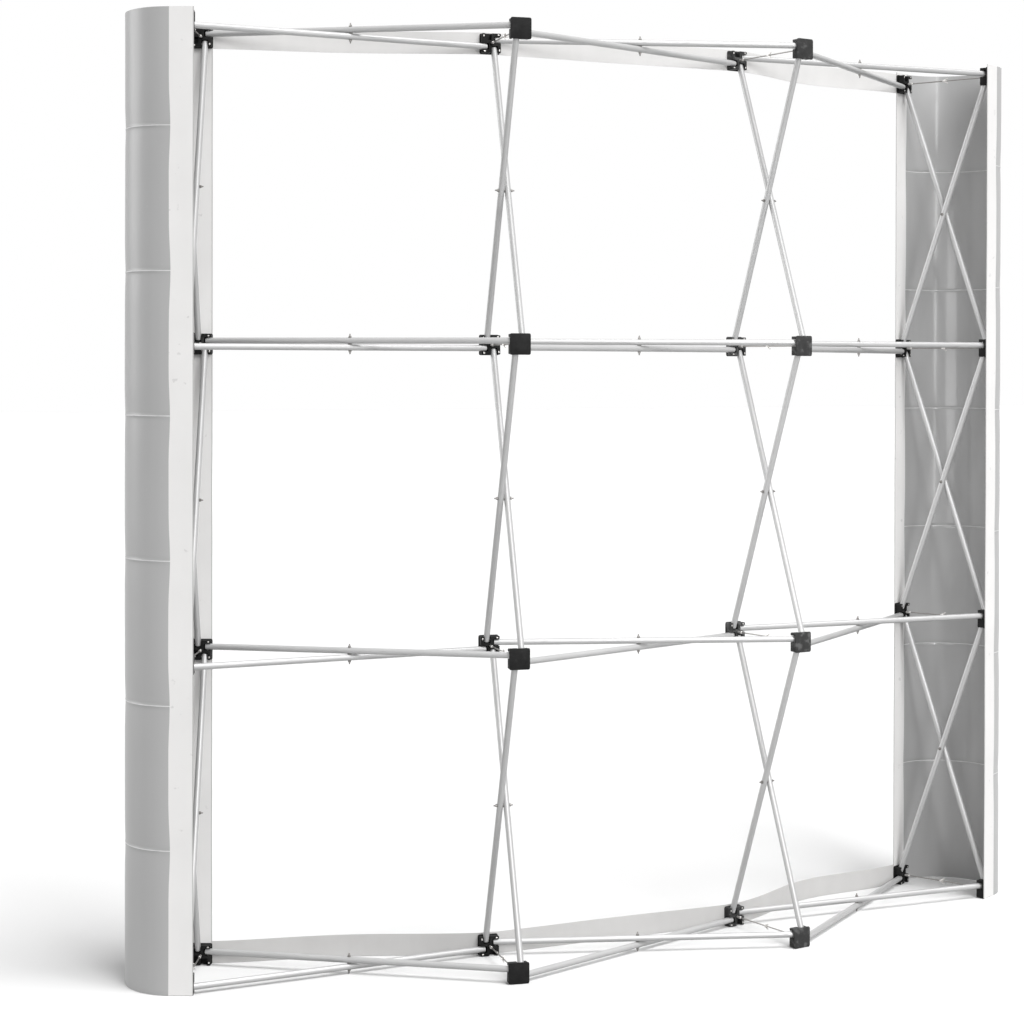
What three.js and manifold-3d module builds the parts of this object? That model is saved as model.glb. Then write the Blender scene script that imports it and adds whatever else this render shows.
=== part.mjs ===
// A pop-up display backwall seen as it stands: three by three bays on a curve, concave towards
// the audience. Sixteen stations (four columns by four rows) each hold a rear hub and a front
// hub. Pairs of crossing tubes join each station to the next, level along the rows and upright
// along the columns, and a two-part lock link joins the two hubs of a station so the frame stays
// open. A curved panel closes each end, and a band runs along the top and the bottom in front.
//
// Millimetres, +Z up. The front (audience) side faces -Y, and the frame is symmetric about X = 0,
// apart from the loose band, which bulges differently in each bay. Columns count from +X to -X
// and rows from the floor up. The origin is at the middle of the footprint, on the floor.

import * as THREE from "three";
import { mergeVertices } from "three/addons/utils/BufferGeometryUtils.js";
import Module from "manifold-3d";

const wasm = await Module();
wasm.setup();

// ---- Driving dimensions -------------------------------------------------------------------

const COLUMNS = 4;
const ROWS = 4;

const FRAME_DEPTH = 247; // between the pin planes of the rear and the front hubs
const BAY_ANGLE = THREE.MathUtils.degToRad(17.5); // one bay of the curve, seen from above

const TUBE_PIN_LENGTH = 743; // from pin to pin, the same for every tube
const TUBE_DIAMETER = 15; // across the flats
const TUBE_WALL = 1.2;
const TUBE_SIDES = 8;
const TUBE_END = 5; // how far a tube runs on past its pin
const TUBE_GAP = 1; // between the two tubes of a pair where they cross

const BOLT_DIAMETER = 4.5;
const BOLT_PROUD = 9; // how far the pivot bolt stands out of each tube
const SMALL_SIDES = 4; // pins, bolts and links are drawn as square rods

const PIN_DIAMETER = 3.4;
const PIN_CLEARANCE = 0.35; // around a pin in its tube, all round
const PIN_REACH = 16; // from a hub's middle to each of its pins

const HUB_SIZE = 50; // the square cap plate
const HUB_CHAMFER = 3;
const PLATE_THICKNESS = 3.5;
const BLOCK_INSET = 1.5; // the slotted block is this much smaller than the plate, each side
const BLOCK_TOP = 8; // height of the block above the pin plane
const SLOT_CLEARANCE = 0.8; // between a tube and each side of its slot
const SWING_CLEARANCE = 0.6; // around the end of a tube as it folds

const LINK_DIAMETER = 3.2;
const CATCH_BAR_LENGTH = 12;
const CATCH_THICKNESS = 3;
const CATCH_ANGLE = THREE.MathUtils.degToRad(25); // of each prong to the link
const CATCH_PRONG = 2.2;
const CATCH_RISE = 6; // the prongs' reach past the bar
const CATCH_CLEARANCE = 0.35;

const SHEET_THICKNESS = 1.2;
const SEAT_GAP = 0.3; // between a sheet and what it lies on
const HEM_INNER = 24; // from the hub's middle to the hem's inner edge
const HEM_OUTER = 33; // from the hub's middle to the fold of the end panel
const PANEL_BULGE = 124; // from the fold to the panel's outermost line
const PANEL_RISE = 32; // above the middle of the top hubs
const FLOOR_GAP = 1; // the sheets end just above the floor
const PANEL_SEGMENTS = 10; // per quarter turn of a panel's curve

const BAND_HEIGHT = 53;
const BAND_END = 20; // how far the band runs past the middle of the end hubs
const BAND_RISE = 27.5; // top edge of the upper band above the middle of the top hubs
const BAND_BULGES = [22, 4, 48]; // slack towards the audience in each bay, from +X to -X
const BAND_STEPS = 6; // per bay

// ---- Sizes that follow from them -----------------------------------------------------------

const tubeRadius = TUBE_DIAMETER / 2;
const tubeOffset = (TUBE_DIAMETER + TUBE_GAP) / 2; // from a hub's middle line to a tube's axis
const swing = Math.hypot(TUBE_END, tubeRadius) + SWING_CLEARANCE;
const plateFace = swing + PLATE_THICKNESS; // from the pin plane out to the cap's face
const rowPitch = 2 * PIN_REACH + Math.sqrt(TUBE_PIN_LENGTH ** 2 - FRAME_DEPTH ** 2);
const firstRow = HUB_SIZE / 2;
const lastRow = firstRow + (ROWS - 1) * rowPitch;

// In the middle of a bay the two level tubes cross, so both radii follow from the tube's length.
const halfBay = BAY_ANGLE / 2;
const pinSpread = Math.sqrt(TUBE_PIN_LENGTH ** 2 - (FRAME_DEPTH * Math.cos(halfBay)) ** 2);
const radiusSum = (pinSpread + 2 * PIN_REACH * Math.cos(halfBay)) / Math.sin(halfBay);
const frontRadius = (radiusSum - FRAME_DEPTH) / 2;
const rearRadius = (radiusSum + FRAME_DEPTH) / 2;

// The tilt of a tube's end out of the plane of its hub.
const uprightTilt = Math.asin(FRAME_DEPTH / TUBE_PIN_LENGTH);
const levelTilt = Math.asin((FRAME_DEPTH * Math.cos(halfBay)) / TUBE_PIN_LENGTH);

const UP = new THREE.Vector3(0, 0, 1);
const X = new THREE.Vector3(1, 0, 0);
const Y = new THREE.Vector3(0, 1, 0);

// ---- Materials -----------------------------------------------------------------------------

const finishes = {
  hub: { color: 0x1c1c1d, roughness: 0.5, metalness: 0 },
  tube: { color: 0xc6c6c4, roughness: 0.32, metalness: 1 },
  panel: { color: 0xa6a6a6, roughness: 0.45, metalness: 0 },
  band: { color: 0xdedcdc, roughness: 0.7, metalness: 0 },
};

const group = new THREE.Group();

function addMesh(name, finish, solid, place = new THREE.Matrix4()) {
  const mesh = new THREE.Mesh(
    geometryOf(solid),
    new THREE.MeshStandardMaterial(finishes[finish]),
  );
  mesh.name = name;
  mesh.applyMatrix4(place);
  group.add(mesh);
}

// ---- Solids --------------------------------------------------------------------------------

function solidOf(geometry) {
  const bare = geometry.clone();
  bare.deleteAttribute("normal");
  bare.deleteAttribute("uv");
  const welded = mergeVertices(bare, 1e-4);
  const mesh = new wasm.Mesh({
    numProp: 3,
    vertProperties: new Float32Array(welded.attributes.position.array),
    triVerts: new Uint32Array(welded.index.array),
  });
  return new wasm.Manifold(mesh);
}

function geometryOf(solid) {
  const mesh = solid.getMesh();
  const indexed = new THREE.BufferGeometry();
  indexed.setAttribute("position", new THREE.BufferAttribute(mesh.vertProperties, 3));
  indexed.setIndex(new THREE.BufferAttribute(mesh.triVerts, 1));
  const geometry = indexed.toNonIndexed();
  geometry.computeVertexNormals();
  return geometry;
}

function join(solids) {
  return solids.reduce((whole, next) => whole.add(next));
}

// A regular outline with flats that face along its own X axis.
function regular(acrossFlats, sides) {
  const radius = acrossFlats / 2 / Math.cos(Math.PI / sides);
  return Array.from({ length: sides }, (_, i) => {
    const angle = ((i + 0.5) * 2 * Math.PI) / sides;
    return [radius * Math.cos(angle), radius * Math.sin(angle)];
  });
}

function pathOf(points) {
  return points.map(([x, y]) => new THREE.Vector2(x, y));
}

function prism(outline, length, bore = null) {
  const shape = new THREE.Shape(pathOf(outline));
  if (bore) {
    shape.holes.push(new THREE.Path(pathOf(bore)));
  }
  return new THREE.ExtrudeGeometry(shape, { depth: length, bevelEnabled: false });
}

// Lays a geometry's Z axis along `along` and its X axis along `side`, starting at `start`.
function lay(geometry, start, along, side) {
  const third = new THREE.Vector3().crossVectors(along, side);
  const matrix = new THREE.Matrix4().makeBasis(side, third, along).setPosition(start);
  return solidOf(geometry.applyMatrix4(matrix));
}

// A solid rod centred on `middle`.
function rod(middle, along, side, acrossFlats, length) {
  const start = middle.clone().addScaledVector(along, -length / 2);
  return lay(prism(regular(acrossFlats, SMALL_SIDES), length), start, along, side);
}

// ---- Stations ------------------------------------------------------------------------------

function columnAxes(column) {
  const angle = ((COLUMNS - 1) / 2 - column) * BAY_ANGLE;
  return {
    outward: new THREE.Vector3(Math.sin(angle), Math.cos(angle), 0), // from front to rear
    tangent: new THREE.Vector3(Math.cos(angle), -Math.sin(angle), 0), // towards +X
  };
}

// The axes of a hub: u and v in its plane, and w from its cap towards the hub opposite.
function hubAxes(layer, column) {
  const { outward, tangent } = columnAxes(column);
  return layer === "rear"
    ? { u: tangent, v: UP, w: outward.clone().negate() }
    : { u: tangent.clone().negate(), v: UP, w: outward };
}

function hubMiddle(layer, column, row) {
  const radius = layer === "rear" ? rearRadius : frontRadius;
  const middle = columnAxes(column).outward.multiplyScalar(radius);
  return middle.setZ(firstRow + row * rowPitch);
}

// The four arms of a hub are quarter turns of the first, which points along u with its tube
// on the +v side of the middle line.
function armPoint(arm, reach, offset, height) {
  const quarter = (arm * Math.PI) / 2;
  return new THREE.Vector3(reach, offset, height).applyAxisAngle(UP, quarter);
}

function hubPin(layer, column, row, arm) {
  const { u, v, w } = hubAxes(layer, column);
  const local = armPoint(arm, PIN_REACH, tubeOffset, 0);
  return hubMiddle(layer, column, row)
    .addScaledVector(u, local.x)
    .addScaledVector(v, local.y)
    .addScaledVector(w, local.z);
}

// ---- Hubs with their lock links --------------------------------------------------------------

function platePoints() {
  const half = HUB_SIZE / 2;
  const short = half - HUB_CHAMFER;
  return [0, 1, 2, 3].flatMap((arm) =>
    [armPoint(arm, half, -short, 0), armPoint(arm, half, short, 0)].map(({ x, y }) => [x, y]),
  );
}

function blockPoints() {
  const half = HUB_SIZE / 2 - BLOCK_INSET;
  const slotEnd = PIN_REACH - swing;
  const low = tubeOffset - tubeRadius - SLOT_CLEARANCE;
  const high = tubeOffset + tubeRadius + SLOT_CLEARANCE;
  const side = [
    [half, low],
    [slotEnd, low],
    [slotEnd, high],
    [half, high],
    [half, half],
  ];
  return [0, 1, 2, 3].flatMap((arm) =>
    side.map(([reach, offset]) => {
      const { x, y } = armPoint(arm, reach, offset, 0);
      return [x, y];
    }),
  );
}

// A pin lies square to its tube, across the slot and into both of its walls.
function slotPin(layer, arm) {
  const middle = armPoint(arm, PIN_REACH, tubeOffset, 0);
  const along = armPoint(arm, 0, 1, 0);
  const level = arm % 2 === 0;
  const bend = layer === "rear" ? halfBay : -halfBay;
  const tilt = level ? levelTilt + bend : uprightTilt;
  const side = armPoint(arm, Math.cos(tilt), 0, Math.sin(tilt));
  const length = TUBE_DIAMETER + 2 * SLOT_CLEARANCE + PIN_DIAMETER;
  return rod(middle, along, side, PIN_DIAMETER, length);
}

function linkRod(reach) {
  const start = BLOCK_TOP - LINK_DIAMETER;
  const middle = new THREE.Vector3(0, 0, (start + reach) / 2);
  return rod(middle, UP, X, LINK_DIAMETER, reach - start);
}

// The rear half of a lock link ends in a cross bar.
function barLink() {
  const middle = new THREE.Vector3(0, 0, FRAME_DEPTH / 2);
  const bar = rod(middle, X, UP, LINK_DIAMETER, CATCH_BAR_LENGTH);
  return join([linkRod(FRAME_DEPTH / 2), bar]);
}

// The front half ends in a V that holds the bar.
function catchLink() {
  const barReach = LINK_DIAMETER / 2 / Math.cos(Math.PI / SMALL_SIDES) + CATCH_CLEARANCE;
  const innerApex = -barReach / Math.sin(CATCH_ANGLE);
  const outerApex = innerApex - CATCH_PRONG / Math.sin(CATCH_ANGLE);
  const spread = (apex) => (CATCH_RISE - apex) * Math.tan(CATCH_ANGLE);
  const outline = [
    [0, outerApex],
    [spread(outerApex), CATCH_RISE],
    [spread(innerApex), CATCH_RISE],
    [0, innerApex],
    [-spread(innerApex), CATCH_RISE],
    [-spread(outerApex), CATCH_RISE],
  ];
  const vee = prism(outline, CATCH_THICKNESS);
  const turn = new THREE.Matrix4().makeBasis(Y, UP, X);
  turn.setPosition(-CATCH_THICKNESS / 2, 0, FRAME_DEPTH / 2);
  const middleOfWeb = FRAME_DEPTH / 2 + (innerApex + outerApex) / 2;
  return join([linkRod(middleOfWeb), solidOf(vee.applyMatrix4(turn))]);
}

function hub(layer, arms) {
  const plate = prism(platePoints(), PLATE_THICKNESS).translate(0, 0, -plateFace);
  const blockBottom = -swing - PLATE_THICKNESS / 2;
  const block = prism(blockPoints(), BLOCK_TOP - blockBottom).translate(0, 0, blockBottom);
  const link = layer === "rear" ? barLink() : catchLink();
  const pins = arms.map((arm) => slotPin(layer, arm));
  return join([solidOf(plate), solidOf(block), link, ...pins]);
}

// The arms of a hub that hold a tube: none points past the edge of the frame.
function usedArms(layer, column, row) {
  const towardPlus = column > 0;
  const towardMinus = column < COLUMNS - 1;
  const used = [
    layer === "rear" ? towardPlus : towardMinus,
    row < ROWS - 1,
    layer === "rear" ? towardMinus : towardPlus,
    row > 0,
  ];
  return [0, 1, 2, 3].filter((arm) => used[arm]);
}

function addHubs() {
  for (let column = 0; column < COLUMNS; column += 1) {
    for (let row = 0; row < ROWS; row += 1) {
      for (const layer of ["rear", "front"]) {
        const { u, v, w } = hubAxes(layer, column);
        const place = new THREE.Matrix4().makeBasis(u, v, w);
        place.setPosition(hubMiddle(layer, column, row));
        const name = `${layer}_hub_c${column + 1}_r${row + 1}`;
        addMesh(name, "hub", hub(layer, usedArms(layer, column, row)), place);
      }
    }
  }
}

// ---- Crossed tubes ----------------------------------------------------------------------------

// A tube between two pins that lie along Z.
function tube(start, end) {
  const along = end.clone().sub(start).normalize();
  const outer = regular(TUBE_DIAMETER, TUBE_SIDES);
  const bore = regular(TUBE_DIAMETER - 2 * TUBE_WALL, TUBE_SIDES);
  const length = start.distanceTo(end) + 2 * TUBE_END;
  const from = start.clone().addScaledVector(along, -TUBE_END);
  const hole = (pin) => rod(pin, UP, along, PIN_DIAMETER + 2 * PIN_CLEARANCE, 2 * TUBE_DIAMETER);
  return lay(prism(outer, length, bore), from, along, UP)
    .subtract(hole(start))
    .subtract(hole(end));
}

function pivotBolt() {
  const outside = TUBE_DIAMETER + TUBE_GAP / 2; // from the middle to the tubes' outer sides
  return rod(new THREE.Vector3(), UP, X, BOLT_DIAMETER, 2 * (outside + BOLT_PROUD));
}

// Where the two tubes of a pair cross, halfway between their centre lines.
function crossingOf([first, second, third, fourth], pinAxis) {
  const one = second.clone().sub(first);
  const apart = third.clone().sub(first);
  const aside = fourth.clone().sub(third).cross(pinAxis);
  return first
    .clone()
    .addScaledVector(one, apart.dot(aside) / one.dot(aside))
    .addScaledVector(pinAxis, apart.dot(pinAxis) / 2);
}

// Two tubes that cross on one pivot bolt: from the first pin to the second, and from the third
// to the fourth. `across` runs along the bay and `pinAxis` along the pins and the bolt.
function addPair(name, pins, across, pinAxis) {
  const middle = crossingOf(pins, pinAxis);
  const depth = new THREE.Vector3().crossVectors(pinAxis, across);
  const place = new THREE.Matrix4().makeBasis(across, depth, pinAxis).setPosition(middle);
  const inverse = place.clone().invert();
  const [first, second, third, fourth] = pins.map((pin) => pin.clone().applyMatrix4(inverse));
  const pair = join([tube(first, second), tube(third, fourth), pivotBolt()]);
  addMesh(name, "tube", pair, place);
}

function addLevelPairs() {
  for (let bay = 0; bay < COLUMNS - 1; bay += 1) {
    for (let row = 0; row < ROWS; row += 1) {
      const pins = [
        hubPin("rear", bay, row, 2),
        hubPin("front", bay + 1, row, 2),
        hubPin("front", bay, row, 0),
        hubPin("rear", bay + 1, row, 0),
      ];
      const across = columnAxes(bay + 1 / 2).tangent;
      addPair(`level_tubes_b${bay + 1}_r${row + 1}`, pins, across, UP);
    }
  }
}

function addUprightPairs() {
  for (let column = 0; column < COLUMNS; column += 1) {
    const { tangent } = columnAxes(column);
    for (let bay = 0; bay < ROWS - 1; bay += 1) {
      const pins = [
        hubPin("rear", column, bay + 1, 3),
        hubPin("front", column, bay, 1),
        hubPin("front", column, bay + 1, 3),
        hubPin("rear", column, bay, 1),
      ];
      addPair(`upright_tubes_c${column + 1}_b${bay + 1}`, pins, UP, tangent);
    }
  }
}

// ---- End panels -------------------------------------------------------------------------------

// Half of a panel's outline, seen from above: X runs out of the end of the wall and Y from the
// front to the rear, both from the middle between the end column's two hubs. `shrink` is the
// distance of the line inside the sheet's outer face.
function panelOutline(shrink) {
  const rearFace = FRAME_DEPTH / 2 + plateFace + SEAT_GAP + SHEET_THICKNESS - shrink;
  const path = new THREE.Path();
  path.moveTo(-HEM_INNER, -rearFace);
  path.lineTo(HEM_OUTER, -rearFace);
  const reach = PANEL_BULGE - shrink;
  path.absellipse(HEM_OUTER, 0, reach, rearFace, -Math.PI / 2, Math.PI / 2, false);
  path.lineTo(-HEM_INNER, rearFace);
  return path.getPoints(PANEL_SEGMENTS);
}

function addPanel(name, column, side) {
  const points = [...panelOutline(0), ...panelOutline(SHEET_THICKNESS).reverse()];
  const height = lastRow + PANEL_RISE - FLOOR_GAP;
  const shape = new THREE.Shape(points);
  const sheet = new THREE.ExtrudeGeometry(shape, { depth: height, bevelEnabled: false });
  const { outward, tangent } = columnAxes(column);
  const middle = outward.clone().multiplyScalar((rearRadius + frontRadius) / 2);
  const along = side > 0 ? outward : outward.clone().negate();
  const out = tangent.clone().multiplyScalar(side);
  const place = new THREE.Matrix4().makeBasis(out, along, UP).setPosition(middle.setZ(FLOOR_GAP));
  addMesh(name, "panel", solidOf(sheet), place);
}

// ---- Bands ------------------------------------------------------------------------------------

// A point of the band's rear face at a front hub, `along` towards +X from the hub's middle.
function bandSeat(column, along) {
  const { outward, tangent } = columnAxes(column);
  const overHem = column === 0 || column === COLUMNS - 1;
  const stack = overHem ? 2 * SEAT_GAP + SHEET_THICKNESS : SEAT_GAP;
  const radius = frontRadius - plateFace - stack;
  return outward.clone().multiplyScalar(radius).addScaledVector(tangent, along);
}

function bandLine() {
  const half = HUB_SIZE / 2;
  const points = [bandSeat(0, BAND_END)];
  for (let bay = 0; bay < COLUMNS - 1; bay += 1) {
    const start = bandSeat(bay, -half);
    const end = bandSeat(bay + 1, half);
    const chord = end.clone().sub(start);
    const slack = new THREE.Vector3().crossVectors(chord, UP).normalize().negate();
    const bulge = BAND_BULGES[bay % BAND_BULGES.length];
    for (let step = 0; step <= BAND_STEPS; step += 1) {
      const share = step / BAND_STEPS;
      const depth = bulge * Math.sin(Math.PI * share) ** 2;
      points.push(start.clone().addScaledVector(chord, share).addScaledVector(slack, depth));
    }
  }
  points.push(bandSeat(COLUMNS - 1, -BAND_END));
  return points;
}

// The same line, moved towards the audience by the sheet's thickness.
function offsetLine(points) {
  return points.map((point, i) => {
    const before = points[Math.max(i - 1, 0)];
    const after = points[Math.min(i + 1, points.length - 1)];
    const along = after.clone().sub(before).normalize();
    const front = new THREE.Vector3().crossVectors(along, UP).negate();
    return point.clone().addScaledVector(front, SHEET_THICKNESS);
  });
}

function addBand(name, bottom) {
  const rear = bandLine();
  const outline = [...rear, ...offsetLine(rear).reverse()].map(({ x, y }) => [x, y]);
  addMesh(name, "band", solidOf(prism(outline, BAND_HEIGHT).translate(0, 0, bottom)));
}

// ---- The whole ----------------------------------------------------------------------------------

addHubs();
addLevelPairs();
addUprightPairs();
addPanel("right_end_panel", 0, 1);
addPanel("left_end_panel", COLUMNS - 1, -1);
addBand("top_band", lastRow + BAND_RISE - BAND_HEIGHT);
addBand("bottom_band", FLOOR_GAP);

const box = new THREE.Box3().setFromObject(group, true);
const centre = box.getCenter(new THREE.Vector3());
group.position.set(-centre.x, -centre.y, -box.min.z);

export default group;
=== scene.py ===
"""The looks of a pop up display backwall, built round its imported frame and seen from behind.

Metres, +Z up. The audience side faces -Y. Columns count from +X to -X and rows from the floor up.
"""

import math

import bmesh
import bpy
from mathutils import Matrix, Vector, noise


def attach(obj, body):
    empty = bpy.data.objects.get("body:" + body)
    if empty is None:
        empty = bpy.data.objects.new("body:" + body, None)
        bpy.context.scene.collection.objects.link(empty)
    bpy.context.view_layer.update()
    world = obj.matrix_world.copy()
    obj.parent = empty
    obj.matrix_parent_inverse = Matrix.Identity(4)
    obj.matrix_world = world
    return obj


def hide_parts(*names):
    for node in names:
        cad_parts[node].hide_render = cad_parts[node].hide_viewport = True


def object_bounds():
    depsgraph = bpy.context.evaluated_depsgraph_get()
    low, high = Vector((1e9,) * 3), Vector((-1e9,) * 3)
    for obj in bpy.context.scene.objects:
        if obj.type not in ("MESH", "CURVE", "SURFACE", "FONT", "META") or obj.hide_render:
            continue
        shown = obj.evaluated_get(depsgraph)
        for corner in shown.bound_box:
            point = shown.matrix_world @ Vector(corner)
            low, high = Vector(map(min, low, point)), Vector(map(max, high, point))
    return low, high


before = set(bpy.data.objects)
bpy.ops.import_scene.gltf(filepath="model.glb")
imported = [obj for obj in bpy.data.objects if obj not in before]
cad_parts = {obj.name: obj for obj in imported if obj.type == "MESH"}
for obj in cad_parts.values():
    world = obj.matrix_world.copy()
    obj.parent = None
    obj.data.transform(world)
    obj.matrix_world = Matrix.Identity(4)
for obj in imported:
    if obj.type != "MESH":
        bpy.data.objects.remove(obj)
cad_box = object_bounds()

# ---- Driving dimensions -------------------------------------------------------------------

MM = 0.001
COLUMNS, ROWS = 4, 4
FRAME_DEPTH = 247 * MM  # between the pin planes of the rear and the front hubs
BAY_ANGLE = math.radians(17.5)

TUBE_PIN_LENGTH = 743 * MM
TUBE_RADIUS = 7.5 * MM
TUBE_WALL = 1.2 * MM
TUBE_END = 5 * MM  # how far a tube runs on past its pin
TUBE_GAP = 1 * MM  # between the two tubes of a pair where they cross
TUBE_BURR = 0.35 * MM  # the eased edge of a cut end

BOLT_PROUD = 9 * MM  # how far the pivot bolt stands out of each tube
BOLT_RADIUS = 2.2 * MM
SPACER_RADIUS = 5 * MM

PIN_RADIUS = 1.7 * MM
PIN_REACH = 16 * MM  # from a hub's middle to each of its pins
HUB_SIZE = 50 * MM  # the square cap plate
HUB_CORNER, HUB_EASE = 4.2 * MM, 0.9 * MM
PLATE_THICKNESS = 3.5 * MM
BLOCK_INSET = 1.5 * MM  # the slotted block is this much smaller than the plate, each side
BLOCK_TOP = 8 * MM  # height of the block above the pin plane
BLOCK_CORNER, BLOCK_EASE = 1.9 * MM, 0.7 * MM
SLOT_CLEARANCE = 0.8 * MM  # between a tube and each side of its slot
SWING_CLEARANCE = 0.6 * MM  # around the end of a tube as it folds
POCKET_PLACE = (17.4 * MM, 19.7 * MM)  # of the pocket on the first arm's ear
POCKET_STRETCH = 1.45

LINK_RADIUS = 1.6 * MM
BAR_FOOT_RADIUS, BAR_FOOT_LENGTH = 2.4 * MM, 7 * MM
BAR_COLLAR_RADIUS, BAR_COLLAR_LENGTH = LINK_RADIUS * 1.35, 4 * MM
CATCH_FOOT_RADIUS, CATCH_FOOT_LENGTH = 3.1 * MM, 16 * MM
CATCH_BAR_LENGTH = 12 * MM
CATCH_THICKNESS = 3 * MM
CATCH_ANGLE = math.radians(25)  # of each prong to the link
CATCH_PRONG = 2.2 * MM
CATCH_RISE = 6 * MM  # the prongs' reach past the bar
CATCH_CLEARANCE = 0.35 * MM
CATCH_CORNER, CATCH_EASE = 0.8 * MM, 0.4 * MM
CATCH_LIP_RADIUS, CATCH_LIP_HALF = 1.5 * MM, CATCH_THICKNESS * 0.62

SHEET_THICKNESS = 1.2 * MM
SEAT_GAP = 0.3 * MM  # between a sheet and what it lies on
HEM_INNER = 24 * MM  # from the hub's middle to the hem's inner edge
HEM_OUTER = 33 * MM  # from the hub's middle to the fold of the end panel
PANEL_BULGE = 124 * MM  # from the fold to the panel's outermost line
PANEL_RISE = 32 * MM  # above the middle of the top hubs
FLOOR_GAP = 1 * MM  # the sheets end just above the floor
CREASE_PITCH = 331 * MM  # the panels are rolled and folded flat for transport
CREASES = 6

# How the sheets' relief departs from their plain curve, and over what distance it fades.
BUCKLE_SLOW, BUCKLE_SMALL = 1.5, 0.5  # millimetres
CREASE_RIDGE, RIDGE_REACH = 1.0 * MM, 3 * MM
CREASE_SINK, SINK_REACH = 1.4 * MM, 60 * MM
HEM_REACH = 50 * MM  # how far from a hem the sheet is still held to its plain curve
HEM_FLUTTER, FLUTTER_SHARE = 1.1 * MM, 0.8  # of the hem's width that is free to flutter
EDGE_WAVER, WAVER_REACH = 1.2 * MM, 12 * MM
BORDER_WAVE, BORDER_BULGE = 1.6, 3.4  # millimetres
BULGE_REACH, BORDER_REACH = 110 * MM, 45 * MM

BAND_HEIGHT = 53 * MM
BAND_END = 20 * MM  # how far the band runs past the middle of the end hubs
BAND_RISE = 27.5 * MM  # top edge of the upper band above the middle of the top hubs
BAND_BULGES = [22 * MM, 4 * MM, 48 * MM]  # slack in each bay, from +X to -X

# Turned forms, as (height, radius) in millimetres from the face that each stands on.
WASHER = [(0, 0), (0, 4.2), (0.9, 4.2), (0.9, 0)]
DOMED_NUT = [(0.9, 0), (0.9, 3.4), (3.6, 3.4), (4.2, 2.7), (4.2, 0)]
BOLT_FOOT, BOLT_TIP = (4.0, 1.7), [(-1.6, 1.7), (-0.5, 1.0), (0, 0)]
POCKET_RIM = [(-0.4, 3.1), (0.5, 2.9), (0.5, 2.2), (-0.4, 2.1)]
KEEPER_DOME = [(-0.2, 2.0), (0.5, 1.7), (0.9, 0.9), (1.0, 0)]
LINK_BOSS = [(-0.5, 5.4), (1.2, 5.0), (1.6, 4.4), (1.6, 0)]

# How finely the forms are drawn.
TUBE_SIDES = 32
ROUND_SIDES = 14  # of bolts, pins and rods
HEM_STEPS, CURVE_STEPS, PANEL_STEPS = 10, 56, 72
CREASE_LEVELS = (-8, -3, -1, 0, 1, 3, 8)  # millimetres from a crease
CREASE_CLEAR = 9 * MM  # no even level comes closer to a crease
BAND_STEPS, BAND_ROWS = 28, 8

# ---- Sizes that follow from them ------------------------------------------------------------

tube_offset = TUBE_RADIUS + TUBE_GAP / 2
swing = math.hypot(TUBE_END, TUBE_RADIUS) + SWING_CLEARANCE
plate_face = swing + PLATE_THICKNESS
row_pitch = 2 * PIN_REACH + math.sqrt(TUBE_PIN_LENGTH**2 - FRAME_DEPTH**2)
first_row = HUB_SIZE / 2
last_row = first_row + (ROWS - 1) * row_pitch
half_bay = BAY_ANGLE / 2
pin_spread = math.sqrt(TUBE_PIN_LENGTH**2 - (FRAME_DEPTH * math.cos(half_bay)) ** 2)
radius_sum = (pin_spread + 2 * PIN_REACH * math.cos(half_bay)) / math.sin(half_bay)
front_radius = (radius_sum - FRAME_DEPTH) / 2
rear_radius = (radius_sum + FRAME_DEPTH) / 2
HEM_WIDTH = HEM_OUTER + HEM_INNER
PANEL_TOP = last_row + PANEL_RISE
CREASE_HEIGHTS = [CREASE_PITCH * (k + 1) for k in range(CREASES)]

# The middle of the curve lies in front of the wall. The caps of the two middle rear columns
# reach furthest back, so their outer corners give its place in the frame.
cap_corner = (rear_radius + plate_face) * math.cos(half_bay) + first_row * math.sin(half_bay)
CURVE_MIDDLE = Vector((0, cad_box[1].y - cap_corner, 0))
UP = Vector((0, 0, 1))

# ---- Places on the frame --------------------------------------------------------------------

AHEAD_ARM, HIGH_ARM, BACK_ARM, LOW_ARM = range(4)  # along a hub's u and v, and against them


def column_axes(column):
    """Outward, from front to rear, and the tangent towards +X, at a column or between two."""
    angle = ((COLUMNS - 1) / 2 - column) * BAY_ANGLE
    outward = Vector((math.sin(angle), math.cos(angle), 0))
    return outward, Vector((math.cos(angle), -math.sin(angle), 0))


def hub_axes(layer, column):
    """A hub's axes: u and v in its plane, and w from its cap towards the hub opposite."""
    outward, tangent = column_axes(column)
    return (tangent, UP, -outward) if layer == "rear" else (-tangent, UP, outward)


def hub_middle(layer, column, row):
    radius = rear_radius if layer == "rear" else front_radius
    return CURVE_MIDDLE + column_axes(column)[0] * radius + UP * (first_row + row * row_pitch)


def arm_point(arm, reach, offset, height=0.0):
    """A point given along the first arm, turned to another arm in quarter turns."""
    for _ in range(arm % 4):
        reach, offset = -offset, reach
    return Vector((reach, offset, height))


def hub_place(layer, column, row):
    return placed(hub_middle(layer, column, row), *hub_axes(layer, column))


def placed(origin, x_axis, y_axis, z_axis):
    rows = [[x_axis[i], y_axis[i], z_axis[i], origin[i]] for i in range(3)]
    return Matrix([*rows, [0, 0, 0, 1]])


def hub_node(layer, column, row):
    return f"{layer}_hub_c{column + 1}_r{row + 1}"


def hub_pin(layer, column, row, arm):
    return hub_place(layer, column, row) @ arm_point(arm, PIN_REACH, tube_offset)


def used_arms(layer, column, row):
    """The arms that hold a tube: none points past the edge of the frame."""
    towards_plus, towards_minus = column > 0, column < COLUMNS - 1
    level = (
        (towards_plus, towards_minus) if layer == "rear" else (towards_minus, towards_plus)
    )
    used = (level[0], row < ROWS - 1, level[1], row > 0)
    return [arm for arm in range(4) if used[arm]]


# ---- Meshes -----------------------------------------------------------------------------------


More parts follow.
